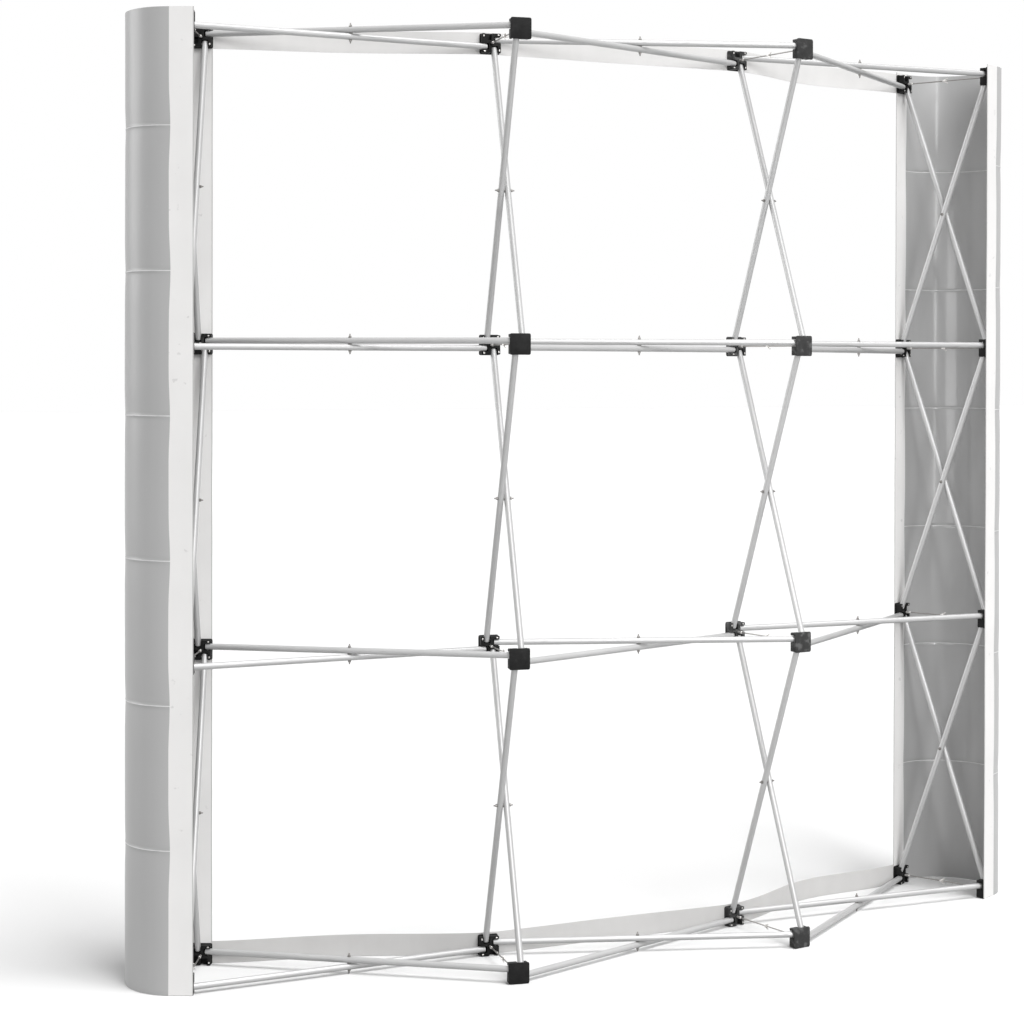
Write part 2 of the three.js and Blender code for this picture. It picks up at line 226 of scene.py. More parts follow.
class Form:
    """Points and faces. Each face has a finish number, and a place in metres at each corner."""

    def __init__(self):
        self.points, self.faces, self.finishes, self.uvs, self.rims = [], [], [], [], []

    def add(self, points, faces, finish=0, uvs=None, rims=None):
        first = len(self.points)
        self.points += [Vector(p) for p in points]
        self.rims += rims or [0.0] * len(points)
        for i, face in enumerate(faces):
            self.faces.append([first + corner for corner in face])
            self.finishes.append(finish)
            self.uvs.append(uvs[i] if uvs else [(0.0, 0.0)] * len(face))
        return self

    def take(self, other, place=None, finish=None, slide=0.0):
        """Adds another form, moved by a matrix, with its places slid along so none repeats."""
        first = len(self.points)
        self.points += [place @ p if place else p.copy() for p in other.points]
        self.rims += other.rims
        self.faces += [[first + corner for corner in face] for face in other.faces]
        self.finishes += [own if finish is None else finish for own in other.finishes]
        self.uvs += [[(u + slide, v) for u, v in face] for face in other.uvs]
        return self

    def piece(self, name, finishes, body, slot=None, crisp=32):
        mesh = bpy.data.meshes.new(name)
        mesh.from_pydata([tuple(p) for p in self.points], [], self.faces)
        for finish in finishes:
            mesh.materials.append(finish)
        mesh.polygons.foreach_set("material_index", self.finishes)
        lay = mesh.uv_layers.new(name="lay")
        lay.data.foreach_set("uv", [c for face in self.uvs for place in face for c in place])
        rim = mesh.attributes.new("rim", "FLOAT", "POINT")
        rim.data.foreach_set("value", self.rims)
        mesh.polygons.foreach_set("use_smooth", [True] * len(self.faces))
        mesh.set_sharp_from_angle(angle=math.radians(crisp))
        mesh.validate()
        piece = bpy.data.objects.new(name, mesh)
        bpy.context.scene.collection.objects.link(piece)
        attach(piece, body)
        return piece


def turned(profile, sides, closed=False):
    """A round form about Z from (height, radius) steps. Radius 0 closes an end."""
    form, rings, points = Form(), [], []
    for height, radius in profile:
        rings.append(list(range(len(points), len(points) + (sides if radius else 1))))
        for i in range(sides if radius else 1):
            angle = 2 * math.pi * i / sides
            points.append((radius * math.cos(angle), radius * math.sin(angle), height))
    faces, uvs = [], []
    steps = list(range(len(profile) - 1)) + ([len(profile) - 1] if closed else [])
    for step in steps:
        after = (step + 1) % len(profile)
        low, high = rings[step], rings[after]
        radius = max(profile[step][1], profile[after][1])
        for i in range(sides):
            j = (i + 1) % sides
            v0, v1 = (2 * math.pi * radius * k / sides for k in (i, i + 1))
            u0, u1 = profile[step][0], profile[after][0]
            if len(low) == 1:
                faces.append([low[0], high[j], high[i]])
                uvs.append([(u0, v0), (u1, v1), (u1, v0)])
            elif len(high) == 1:
                faces.append([low[i], low[j], high[0]])
                uvs.append([(u0, v0), (u0, v1), (u1, v0)])
            else:
                faces.append([low[i], low[j], high[j], high[i]])
                uvs.append([(u0, v0), (u0, v1), (u1, v1), (u1, v0)])
    return form.add(points, faces, uvs=uvs)


def steps_from(base, *steps):
    """The steps of a turned form, given in millimetres from a base height."""
    return [(base + height * MM, radius * MM) for height, radius in steps]


def along_line(start, end):
    """A place whose Z axis runs from start towards end."""
    z_axis = (end - start).normalized()
    side = z_axis.orthogonal().normalized()
    return placed(start, side, z_axis.cross(side), z_axis)


def rounded(outline, radius, steps=4):
    """A closed outline whose corners are rounded, each by as much as its sides allow."""
    result = []
    for i, corner in enumerate(outline):
        corner = Vector(corner)
        before = Vector(outline[i - 1]) - corner
        after = Vector(outline[(i + 1) % len(outline)]) - corner
        half = before.angle(after) / 2
        reach = min(radius / math.tan(half), before.length * 0.48, after.length * 0.48)
        start, end = corner + before.normalized() * reach, corner + after.normalized() * reach
        for step in range(steps + 1):
            t = step / steps
            result.append(start * (1 - t) ** 2 + corner * 2 * t * (1 - t) + end * t**2)
    return result


def moulded(outline, low, high, ease, rim_steps=2):
    """A prism on a flat outline, from low to high, with its two rims eased."""
    mesh = bmesh.new()
    base = [mesh.verts.new((x, y, low)) for x, y in outline]
    top = [mesh.verts.new((x, y, high)) for x, y in outline]
    mesh.faces.new(base[::-1])
    mesh.faces.new(top)
    for i in range(len(base)):
        j = (i + 1) % len(base)
        mesh.faces.new([base[i], base[j], top[j], top[i]])
    level = [e for e in mesh.edges if abs(e.verts[0].co.z - e.verts[1].co.z) < 1e-9]
    eased = bmesh.ops.bevel(
        mesh, geom=level, offset=ease, segments=rim_steps, profile=0.5, affect="EDGES"
    )
    rim = {v for face in eased["faces"] for v in face.verts}
    mesh.verts.index_update()
    points = [v.co.copy() for v in mesh.verts]
    rims = [1.0 if v in rim else 0.0 for v in mesh.verts]
    faces = [[v.index for v in face.verts] for face in mesh.faces]
    uvs = [[(v.co.x, v.co.y) for v in face.verts] for face in mesh.faces]
    mesh.free()
    return Form().add(points, faces, uvs=uvs, rims=rims)


# ---- Finishes ---------------------------------------------------------------------------------


class Wire:
    """A shader value in Python arithmetic: each operation adds a Math node."""

    def __init__(self, finish, socket):
        self.finish, self.socket = finish, socket

    def __add__(self, other):
        return self.finish.math("ADD", self, other)

    def __sub__(self, other):
        return self.finish.math("SUBTRACT", self, other)

    def __rsub__(self, other):
        return self.finish.math("SUBTRACT", other, self)

    def __mul__(self, other):
        return self.finish.math("MULTIPLY", self, other)

    __radd__, __rmul__ = __add__, __mul__


class Finish:
    """A material, or the world, whose nodes are wired by expressions."""

    def __init__(self, name, kind="materials"):
        self.owner = getattr(bpy.data, kind).new(name)
        self.owner.use_nodes = True
        self.tree = self.owner.node_tree
        self.tree.nodes.clear()

    def add(self, kind, settings=None, inputs=None, out=0):
        node = self.tree.nodes.new(kind)
        for key, value in (settings or {}).items():
            setattr(node, key, value)
        for key, value in (inputs or {}).items():
            if isinstance(value, Wire):
                self.tree.links.new(value.socket, node.inputs[key])
            else:
                node.inputs[key].default_value = value
        return Wire(self, node.outputs[out]) if node.outputs else None

    def math(self, operation, first, second):
        return self.add("ShaderNodeMath", {"operation": operation}, {0: first, 1: second})

    def lay(self, across=1.0, along=1.0):
        """The piece's own flat places in metres, each way scaled for a texture."""
        flat = self.add("ShaderNodeUVMap", {"uv_map": "lay"})
        scale = {0: flat, 1: (along, across, 1.0)}
        return self.add("ShaderNodeVectorMath", {"operation": "MULTIPLY"}, scale)

    def lay_parts(self):
        """The two flat places in metres as values: along, across."""
        return [self.add("ShaderNodeSeparateXYZ", None, {0: self.lay()}, out=i) for i in (0, 1)]

    def space(self):
        return self.add("ShaderNodeTexCoord", out="Object")

    def grain(self, vector, scale, detail=2.0, roughness=0.5):
        settings = {"Vector": vector, "Scale": scale, "Detail": detail, "Roughness": roughness}
        return self.add("ShaderNodeTexNoise", None, settings)

    def threads(self, direction, scale, distortion):
        """Threads side by side, set out along X or Y of the flat places."""
        settings = {"wave_type": "BANDS", "bands_direction": direction}
        inputs = {"Vector": self.lay(), "Scale": scale, "Distortion": distortion}
        return self.add("ShaderNodeTexWave", settings, inputs, out="Fac")

    def band(self, value, low, high):
        """Rises smoothly from 0 at low to 1 at high."""
        limits = {"Value": value, "From Min": low, "From Max": high}
        return self.add("ShaderNodeMapRange", {"interpolation_type": "SMOOTHSTEP"}, limits)

    def mix(self, factor, first, second):
        settings = {"data_type": "RGBA"}
        return self.add("ShaderNodeMix", settings, {0: factor, 6: first, 7: second}, out=2)

    def bump(self, height, strength, distance):
        inputs = {"Height": height, "Strength": strength, "Distance": distance}
        return self.add("ShaderNodeBump", None, inputs)

    def surface(self, **inputs):
        named = {key.replace("_", " ").title().replace("Ior", "IOR"): inputs[key] for key in inputs}
        shader = self.add("ShaderNodeBsdfPrincipled", None, named)
        self.add("ShaderNodeOutputMaterial", None, {"Surface": shader})
        return self.owner


def grey(level, warmth=0.0):
    """A linear colour for a grey as it is seen, from 0 to 255, a little warm or cool."""
    return tuple(((level + warmth * k) / 255) ** 2.2 for k in (1, 0, -1)) + (1.0,)


def panel_section():
    """The middle line of an end panel seen from above, rear hem first: point, facing, length."""
    face = FRAME_DEPTH / 2 + plate_face + SEAT_GAP + SHEET_THICKNESS / 2
    bulge = PANEL_BULGE - SHEET_THICKNESS / 2
    flat = [-HEM_INNER + HEM_WIDTH * i / HEM_STEPS for i in range(HEM_STEPS)]
    section = [(Vector((x, face, 0)), Vector((0, 1, 0))) for x in flat]
    for i in range(CURVE_STEPS + 1):
        angle = math.pi / 2 - math.pi * i / CURVE_STEPS
        point = Vector((HEM_OUTER + bulge * math.cos(angle), face * math.sin(angle), 0))
        facing = Vector((face * math.cos(angle), bulge * math.sin(angle), 0)).normalized()
        section.append((point, facing))
    section += [(Vector((x, -face, 0)), Vector((0, -1, 0))) for x in reversed(flat)]
    length, result = 0.0, []
    for i, (point, facing) in enumerate(section):
        length += (point - section[i - 1][0]).length if i else 0.0
        result.append((point, facing, length))
    return result


PANEL_WIDTH = panel_section()[-1][2]


def anodised_aluminium():
    """Drawn tube with a satin skin: fine lines along its length, cloudy patches and faint rubs."""
    f = Finish("anodised_aluminium")
    lines = f.grain(f.lay(across=2600, along=7), 1.0, detail=3)
    cloud = f.grain(f.space(), 9.0, detail=3)
    rub = f.band(f.grain(f.lay(across=160, along=24), 1.0, detail=4), 0.62, 0.74)
    tone = f.mix(cloud, grey(180), grey(196))
    tone = f.mix(lines * 0.25, tone, grey(150))
    tone = f.mix(rub * 0.35, tone, grey(140))
    rough = 0.32 + cloud * 0.08 + lines * 0.06 + rub * 0.12
    height = lines * 0.7 + rub * 0.5
    return f.surface(
        base_color=tone,
        metallic=0.3,
        roughness=rough,
        specular_ior_level=0.4,
        normal=f.bump(height, 0.25, 0.0002),
    )


def cut_aluminium():
    """The sawn end and the bore of a tube, duller than its drawn skin."""
    f = Finish("cut_aluminium")
    saw = f.grain(f.space(), 900.0, detail=2)
    tone = f.mix(saw, grey(150), grey(186))
    return f.surface(
        base_color=tone, metallic=0.9, roughness=0.35 + saw * 0.2, normal=f.bump(saw, 0.3, 0.0002)
    )


def plated_steel(name, level, metallic):
    """Zinc plated pins, bolts and link rods: cloudy, with a few dull specks."""
    f = Finish(name)
    cloud = f.grain(f.space(), 120.0, detail=3)
    pits = f.band(f.grain(f.space(), 420.0, detail=2), 0.64, 0.74)
    tone = f.mix(cloud, grey(level - 14, 3), grey(level + 12, 2))
    tone = f.mix(pits * 0.3, tone, grey(level - 60, 3))
    return f.surface(
        base_color=tone,
        metallic=metallic,
        roughness=0.24 + cloud * 0.14 + pits * 0.2,
        normal=f.bump(cloud + pits * 0.4, 0.12, 0.0002),
    )


def black_nylon(name, level, scuffed):
    """Moulded hub plastic: a fine spark grain, paler eased rims, and scuffs from handling."""
    f = Finish(name)
    grain = f.grain(f.space(), 1500.0, detail=2)
    cloud = f.grain(f.space(), 55.0, detail=4)
    scratch = f.band(f.grain(f.lay(across=900, along=60), 1.0, detail=3), 0.62, 0.70)
    scuff = f.band(cloud, 0.66 - 0.16 * scuffed, 0.84 - 0.16 * scuffed)
    rim = f.add("ShaderNodeAttribute", {"attribute_name": "rim"}, out="Fac")
    tone = f.mix(grain, grey(level - 3), grey(level + 4))
    tone = f.mix(scuff * (0.25 + 0.35 * scuffed), tone, grey(level + 62))
    tone = f.mix(scratch * 0.22, tone, grey(level + 70))
    tone = f.mix(rim * cloud * 0.30, tone, grey(level + 58))
    rough = 0.46 + grain * 0.10 + scuff * 0.14
    height = grain * 0.6 + scratch * -0.5
    return f.surface(
        base_color=tone,
        roughness=rough,
        specular_ior_level=0.10,
        normal=f.bump(height, 0.35, 0.0002),
    )


def grey_sheet(name, gloss):
    """Rolled sheet of an end panel: satin grey, with pale creases right across it."""
    f = Finish(name)
    along, _ = f.lay_parts()
    cloud = f.grain(f.space(), 3.2, detail=4)
    streaks = f.grain(f.lay(across=46, along=0.6), 1.0, detail=3)
    emboss = f.grain(f.space(), 1400.0, detail=1)
    fold = f.math("PINGPONG", along, CREASE_PITCH / 2)
    wander = f.grain(f.space(), 60.0, detail=2)
    line = 1 - f.band(fold + wander * 0.0012, 0.0010, 0.0021)
    shade = (1 - f.band(fold, 0.0, 0.016)) * 0.5
    worn = f.band(f.grain(f.space(), 210.0, detail=3), 0.66, 0.76)
    tone = f.mix(cloud, grey(170), grey(179))
    tone = f.mix(streaks * 0.14, tone, grey(196))
    tone = f.mix(shade * 0.25, tone, grey(130))
    tone = f.mix(line * 0.65, tone, grey(244))
    tone = f.mix(worn * 0.12, tone, grey(220))
    rough = 0.32 + streaks * 0.08 + worn * 0.2 + line * 0.2
    height = emboss * 0.12 + streaks * 0.2 + line * 0.8
    return f.surface(
        base_color=tone,
        roughness=rough,
        specular_ior_level=0.45,
        coat_weight=gloss,
        coat_roughness=0.13,
        normal=f.bump(height, 0.22, 0.0004),
    )


def white_hem():
    """The white edging of an end panel: fine threads, painted shade along its free edges and
    handling marks.
    """
    f = Finish("white_hem")
    weave = f.threads("X", 420.0, 1.2)
    cloud = f.grain(f.space(), 7.0, detail=4)
    dots = f.band(f.grain(f.space(), 46.0, detail=3), 0.68, 0.75)
    _, across = f.lay_parts()
    from_edge = f.math("MINIMUM", across, PANEL_WIDTH - across)
    # painted shade: the sheet is drawn darker along each of its free edges
    edge_shade = 1 - f.band(from_edge, 0.0015, 0.0030)
    tone = f.mix(cloud, grey(228, 1), grey(241, 1))
    tone = f.mix(dots * 0.35, tone, grey(176, 1))
    tone = f.mix(edge_shade * 0.6, tone, grey(150, 1))
    tone = f.mix(weave * 0.10, tone, grey(205, 1))
    return f.surface(
        base_color=tone,
        roughness=0.52 + cloud * 0.1,
        specular_ior_level=0.35,
        normal=f.bump(weave * 0.4 + cloud * 0.3, 0.2, 0.0003),
    )


def band_cloth(name, level):
    """Woven loop band: a plain weave seen close, with faint creases and soiling along it."""
    f = Finish(name)
    warp, weft = (f.threads(direction, 330.0, 0.6) for direction in "XY")
    cloud = f.grain(f.space(), 5.0, detail=4)
    folds = f.grain(f.lay(across=9.0, along=30.0), 1.0, detail=2)
    weave = warp * weft
    tone = f.mix(cloud, grey(level - 8, 1), grey(level + 8, 1))
    tone = f.mix(folds * 0.22, tone, grey(level - 31, 1))
    tone = f.mix(weave * 0.12, tone, grey(level - 37, 1))
    return f.surface(
        base_color=tone,
        roughness=0.74 + weave * 0.1,
        specular_ior_level=0.25,
        normal=f.bump(weave * 0.5 + folds * 0.5, 0.3, 0.0003),
    )


ALUMINIUM, CUT = anodised_aluminium(), cut_aluminium()
BOLT_STEEL = plated_steel("bolt_steel", 128, 0.5)
PIN_STEEL = plated_steel("pin_steel", 204, 0.7)
LINK_STEEL = plated_steel("link_steel", 138, 0.6)
NYLON = black_nylon("black_nylon", 16, 0.15)
WORN_NYLON = black_nylon("worn_black_nylon", 46, 1.0)
SHEET = grey_sheet("grey_sheet", 0.0)
SHEET_BACK = grey_sheet("glossy_sheet_back", 0.6)  # the side towards the frame
HEM = white_hem()
TOP_BAND = band_cloth("band_cloth", 227)
# the bottom band is the same cloth drawn darker: painted shade low down near the floor
BOTTOM_BAND = band_cloth("band_cloth_painted_shade", 205)

# ---- Crossed tubes ------------------------------------------------------------------------------

SKIN, BORE, BOLT = range(3)  # the finishes of a crossing pair, in order

# How far each tube's flat places are slid along, so that no two tubes look the same.
TUBE_SLIDE, PAIR_SLIDE, UPRIGHT_SLIDE = 0.9, 2.1, 40.0


def tube(start, end):
    """A hollow tube between two pins, with eased ends: the skin, then the cut ends and bore."""
    length = (end - start).length + 2 * TUBE_END
    bore = TUBE_RADIUS - TUBE_WALL
    skin = [
        (0, TUBE_RADIUS - TUBE_BURR),
        (TUBE_BURR, TUBE_RADIUS),
        (length - TUBE_BURR, TUBE_RADIUS),
        (length, TUBE_RADIUS - TUBE_BURR),
    ]
    inside = [skin[-1], (length, bore), (0, bore), skin[0]]
    form = Form().take(turned(skin, TUBE_SIDES), finish=SKIN)
    form.take(turned(inside, TUBE_SIDES), finish=BORE)
    place = along_line(start, end)
    return Form().take(form, place @ Matrix.Translation((0, 0, -TUBE_END)))


def pivot_bolt():
    """The bolt through a crossing, twice from its middle: shank, washer, domed nut and tip."""
    face = 2 * TUBE_RADIUS + TUBE_GAP / 2
    tip = steps_from(face, BOLT_FOOT) + steps_from(face + BOLT_PROUD, *BOLT_TIP)
    half = Form()
    half.take(turned([(0, BOLT_RADIUS), (face, BOLT_RADIUS)], ROUND_SIDES))
    half.take(turned(steps_from(face, *WASHER), 20))
    half.take(turned(steps_from(face, *DOMED_NUT), 6))
    half.take(turned(tip, ROUND_SIDES))
    whole = Form().take(half, finish=BOLT)
    return whole.take(half, Matrix.Rotation(math.pi, 4, "X"), finish=BOLT)


def spacer():
    """The thin washer between the two tubes of a pair."""
    edge = TUBE_GAP / 2
    steps = [(-edge, 0), (-edge, SPACER_RADIUS), (edge, SPACER_RADIUS), (edge, 0)]
    return Form().take(turned(steps, 24), finish=BOLT)


def crossing_of(pins, pin_axis):
    """Where the two tubes of a pair cross, halfway between their centre lines."""
    first, second, third, fourth = pins
    one, apart = second - first, third - first
    aside = (fourth - third).cross(pin_axis)
    return first + one * (apart.dot(aside) / one.dot(aside)) + pin_axis * (apart.dot(pin_axis) / 2)


def crossed_pair(name, node, pins, pin_axis, slide):
    middle = crossing_of(pins, pin_axis)
    form = Form()
    for k, (start, end) in enumerate((pins[:2], pins[2:])):
        form.take(tube(start, end), slide=slide + k * TUBE_SLIDE)
    place = along_line(middle, middle + pin_axis)
    form.take(pivot_bolt(), place).take(spacer(), place)
    piece = form.piece(name, [ALUMINIUM, CUT, BOLT_STEEL], "frame", "tube_aluminium")
    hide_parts(node)


def level_pairs():
    for bay in range(COLUMNS - 1):
        for row in range(ROWS):
            pins = [
                hub_pin("rear", bay, row, BACK_ARM),
                hub_pin("front", bay + 1, row, BACK_ARM),
                hub_pin("front", bay, row, AHEAD_ARM),
                hub_pin("rear", bay + 1, row, AHEAD_ARM),
            ]
            ends = f"b{bay + 1}_r{row + 1}"
            slide = PAIR_SLIDE * (bay * ROWS + row)
            crossed_pair(f"level_pair_{ends}", f"level_tubes_{ends}", pins, UP, slide)


def upright_pairs():
    for column in range(COLUMNS):
        for bay in range(ROWS - 1):
            pins = [
                hub_pin("rear", column, bay + 1, LOW_ARM),
                hub_pin("front", column, bay, HIGH_ARM),
                hub_pin("front", column, bay + 1, LOW_ARM),
                hub_pin("rear", column, bay, HIGH_ARM),
            ]
            ends = f"c{column + 1}_b{bay + 1}"
            slide = UPRIGHT_SLIDE + PAIR_SLIDE * (column * ROWS + bay)
            tangent = column_axes(column)[1]
            crossed_pair(f"upright_pair_{ends}", f"upright_tubes_{ends}", pins, tangent, slide)


# ---- Hubs and lock links ------------------------------------------------------------------------

EAR = HUB_SIZE / 2 - BLOCK_INSET  # the slotted block's outer face
SLOT_END = PIN_REACH - swing
SLOT_LOW = TUBE_GAP / 2 - SLOT_CLEARANCE
SLOT_HIGH = tube_offset + TUBE_RADIUS + SLOT_CLEARANCE

MOULDING, BRIGHT, DULL = range(3)  # the finishes of a hub, in order
WORN_COLUMN = 2  # its hubs are handled the most


def cap_plate():
    half = HUB_SIZE / 2
    square = [(half, -half), (half, half), (-half, half), (-half, -half)]
    return moulded(rounded(square, HUB_CORNER, 6), -plate_face, -swing, HUB_EASE, 3)


def slotted_block():
    """The block behind the cap: four slots set like a pinwheel, with rounded ears between."""
    side = [
        (EAR, SLOT_LOW),
        (SLOT_END, SLOT_LOW),
        (SLOT_END, SLOT_HIGH),
        (EAR, SLOT_HIGH),
        (EAR, EAR),
    ]
    outline = [arm_point(arm, *point).to_2d() for arm in range(4) for point in side]
    bottom = -swing - PLATE_THICKNESS / 2
    return moulded(rounded(outline, BLOCK_CORNER, 3), bottom, BLOCK_TOP, BLOCK_EASE)


def ear_pockets():
    """On each ear a raised pocket rim, and in it the bright end of the wire that keeps the pin."""
    form, oval = Form(), Matrix.Diagonal((POCKET_STRETCH, 1.0, 1.0, 1.0))
    for arm in range(4):
        turn = Matrix.Rotation(math.pi / 2 * (arm % 2), 4, "Z")
        place = Matrix.Translation(arm_point(arm, *POCKET_PLACE)) @ turn @ oval
        form.take(turned(steps_from(BLOCK_TOP, *POCKET_RIM), 20), place, finish=MOULDING)
        form.take(turned(steps_from(BLOCK_TOP, *KEEPER_DOME), 18), place, finish=BRIGHT)
    return form


def hub_boss():
    """The round boss that a lock link screws into."""
    return turned(steps_from(BLOCK_TOP, *LINK_BOSS), 24)


def arm_pin(arm):
    length = 2 * (TUBE_RADIUS + SLOT_CLEARANCE) + 2 * PIN_RADIUS
    steps = [(0, 0), (0, PIN_RADIUS), (length, PIN_RADIUS), (length, 0)]
    low = arm_point(arm, PIN_REACH, tube_offset - length / 2)
    high = arm_point(arm, PIN_REACH, tube_offset + length / 2)
    return Form().take(turned(steps, ROUND_SIDES), along_line(low, high), finish=BRIGHT)


def rod(start, end, radius, sides=ROUND_SIDES, finish=BRIGHT):
    """A bar with domed ends."""
    length = (end - start).length
    dome = radius * 0.45
    steps = [(0, 0), (dome * 0.25, radius * 0.7), (dome, radius)]
    steps += [(length - height, reach) for height, reach in reversed(steps)]
    return Form().take(turned(steps, sides), along_line(start, end), finish=finish)


def at_height(height):
    return Vector((0, 0, height))


def bar_link():
    """The rear half of a lock link: a rod from a short foot, and a collar that holds a cross bar."""
    tip = at_height(FRAME_DEPTH / 2)
    across = Vector((CATCH_BAR_LENGTH / 2, 0, 0))
    form = rod(at_height(BLOCK_TOP - LINK_RADIUS), tip, LINK_RADIUS, finish=DULL)
    form.take(rod(tip - across, tip + across, LINK_RADIUS))
    collar = (tip - at_height(BAR_COLLAR_LENGTH), tip + at_height(LINK_RADIUS))
    form.take(rod(*collar, BAR_COLLAR_RADIUS))
    foot = (at_height(BLOCK_TOP), at_height(BLOCK_TOP + BAR_FOOT_LENGTH))
    return form.take(rod(*foot, BAR_FOOT_RADIUS))


def catch_link():
    """The front half: a rod from a stout foot, and a forked catch that holds the cross bar."""
    middle = FRAME_DEPTH / 2
    bar_reach = LINK_RADIUS + CATCH_CLEARANCE
    inner = -bar_reach / math.sin(CATCH_ANGLE)
    outer = inner - CATCH_PRONG / math.sin(CATCH_ANGLE)
    spread = {a: (CATCH_RISE - a) * math.tan(CATCH_ANGLE) for a in (inner, outer)}
    outline = [
        (0, outer),
        (spread[outer], CATCH_RISE),
        (spread[inner], CATCH_RISE),
        (0, inner),
        (-spread[inner], CATCH_RISE),
        (-spread[outer], CATCH_RISE),
    ]
    half = CATCH_THICKNESS / 2
    vee = moulded(rounded(outline, CATCH_CORNER, 3), -half, half, CATCH_EASE)
    turn = placed(at_height(middle), Vector((0, 1, 0)), UP, Vector((1, 0, 0)))
    form = Form().take(vee, turn, finish=BRIGHT)
    for side in (-1, 1):
        lip = Vector((0, side * (spread[inner] + spread[outer]) / 2, middle + CATCH_RISE))
        reach = Vector((CATCH_LIP_HALF, 0, 0))
        form.take(rod(lip - reach, lip + reach, CATCH_LIP_RADIUS))
    end = at_height(middle + (inner + outer) / 2)
    form.take(rod(at_height(BLOCK_TOP - LINK_RADIUS), end, LINK_RADIUS, finish=DULL))
    foot = (at_height(BLOCK_TOP), at_height(BLOCK_TOP + CATCH_FOOT_LENGTH))
    return form.take(rod(*foot, CATCH_FOOT_RADIUS, 20))


def hubs():
    """Every hub is the same moulding, but one column's are more worn than the rest."""
    plastic = Form().take(cap_plate(), finish=MOULDING).take(slotted_block(), finish=MOULDING)
    plastic.take(ear_pockets()).take(hub_boss(), finish=MOULDING)
    links = {"rear": bar_link(), "front": catch_link()}
    for column in range(COLUMNS):
        finishes = [WORN_NYLON if column == WORN_COLUMN else NYLON, PIN_STEEL, LINK_STEEL]
        for row in range(ROWS):
            for layer in ("rear", "front"):
                local = Form().take(plastic).take(links[layer])
                for arm in used_arms(layer, column, row):
                    local.take(arm_pin(arm))
                node = hub_node(layer, column, row)
                form = Form().take(local, hub_place(layer, column, row))
                piece = form.piece(f"{node}_moulding", finishes, "frame", "hub_plastic")
                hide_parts(node)


# ---- Sheets -------------------------------------------------------------------------------------

OUTSIDE, INSIDE, EDGING = range(3)  # the finishes of an end panel, in order


def sheet_form(lines, thickness_at, place_at):
    """A thin closed sheet on a grid: `lines` of middle points with the way each faces."""
    rows, columns = len(lines), len(lines[0])
    points = []
    for side in (1, -1):
        for r, line in enumerate(lines):
            for c, (point, facing) in enumerate(line):
                points.append(point + facing * (side * thickness_at(r, c) / 2))
    back = rows * columns
    faces, corners = [], []

    def corner(index):
        r, c = divmod(index % back, columns)
        return place_at(r, c)

    def put(*indices):
        faces.append(list(indices))
        corners.append([corner(i) for i in indices])

    for r in range(rows - 1):
        for c in range(columns - 1):
            i = r * columns + c
            put(i, i + 1, i + columns + 1, i + columns)
            put(back + i, back + i + columns, back + i + columns + 1, back + i + 1)
    for c in range(columns - 1):
        put(c, back + c, back + c + 1, c + 1)
        i = (rows - 1) * columns + c
        put(i, i + 1, back + i + 1, back + i)
    for r in range(rows - 1):
        i = r * columns
        put(i, i + columns, back + i + columns, back + i)
        i += columns - 1
        put(i, back + i, back + i + columns, i + columns)
    return Form().add(points, faces, uvs=corners)


def turned_over(form):
    """The same form with its faces the other way round, where the grid's own way is inward."""
    form.faces = [face[::-1] for face in form.faces]
    form.uvs = [corners[::-1] for corners in form.uvs]
    return form


def swell(value, low, high):
    """Rises smoothly from 0 at low to 1 at high."""
    t = min(max((value - low) / (high - low), 0.0), 1.0)
    return t * t * (3 - 2 * t)


def between_hubs(height):
    """0 at the hubs' rows, where a sheet is held flat, and 1 halfway between them."""
    return math.sin(math.pi * (height - first_row) / row_pitch) ** 2


def from_crease(height):
    return min(abs(height - crease) for crease in CREASE_HEIGHTS)


def from_panel_edge(along):
    return min(along, PANEL_WIDTH - along)


def panel_heights():
    """Levels of a panel's points: even steps, and close ones at each crease."""
    height = PANEL_TOP - FLOOR_GAP
    levels = {FLOOR_GAP + height * i / PANEL_STEPS for i in range(PANEL_STEPS + 1)}
    levels = {level for level in levels if from_crease(level) > CREASE_CLEAR}
    levels |= {crease + step * MM for crease in CREASE_HEIGHTS for step in CREASE_LEVELS}
    return sorted(levels)


def panel_relief(seed, height, along):
    """How far a panel stands out from its plain curve: buckles, creases and free hem edges."""
    far_hem = PANEL_WIDTH - HEM_WIDTH
    past_near_hem = swell(along, HEM_WIDTH, HEM_WIDTH + HEM_REACH)
    on_curve = past_near_hem * (1 - swell(along, far_hem - HEM_REACH, far_hem))
    slow = noise.noise(Vector((along * 3.1 + seed, height * 1.3, seed)))
    small = noise.noise(Vector((along * 9.0, height * 5.0 + seed, 7.7)))
    buckle = (BUCKLE_SLOW * slow + BUCKLE_SMALL * small) * MM * on_curve
    fold = from_crease(height)
    crease = CREASE_RIDGE * max(0.0, 1 - fold / RIDGE_REACH) * on_curve
    crease -= CREASE_SINK * (1 - swell(fold, 0, SINK_REACH)) * on_curve
    free = 1 - swell(from_panel_edge(along), 0, HEM_WIDTH * FLUTTER_SHARE)
    flutter = (0.6 + 0.4 * noise.noise(Vector((height * 6.0, seed, 3.0)))) * HEM_FLUTTER
    return buckle + crease + flutter * free * between_hubs(height)


def border_creep(seed, height, from_border):
    """How far the grey sheet's border creeps over the hem: slow waves, and more at each crease."""
    wave = BORDER_WAVE * noise.noise(Vector((height * 2.1, seed, 12.0)))
    creep = (wave + BORDER_BULGE * (1 - swell(from_crease(height), 0, BULGE_REACH))) * MM
    return creep * (1 - swell(abs(from_border), 0, BORDER_REACH))


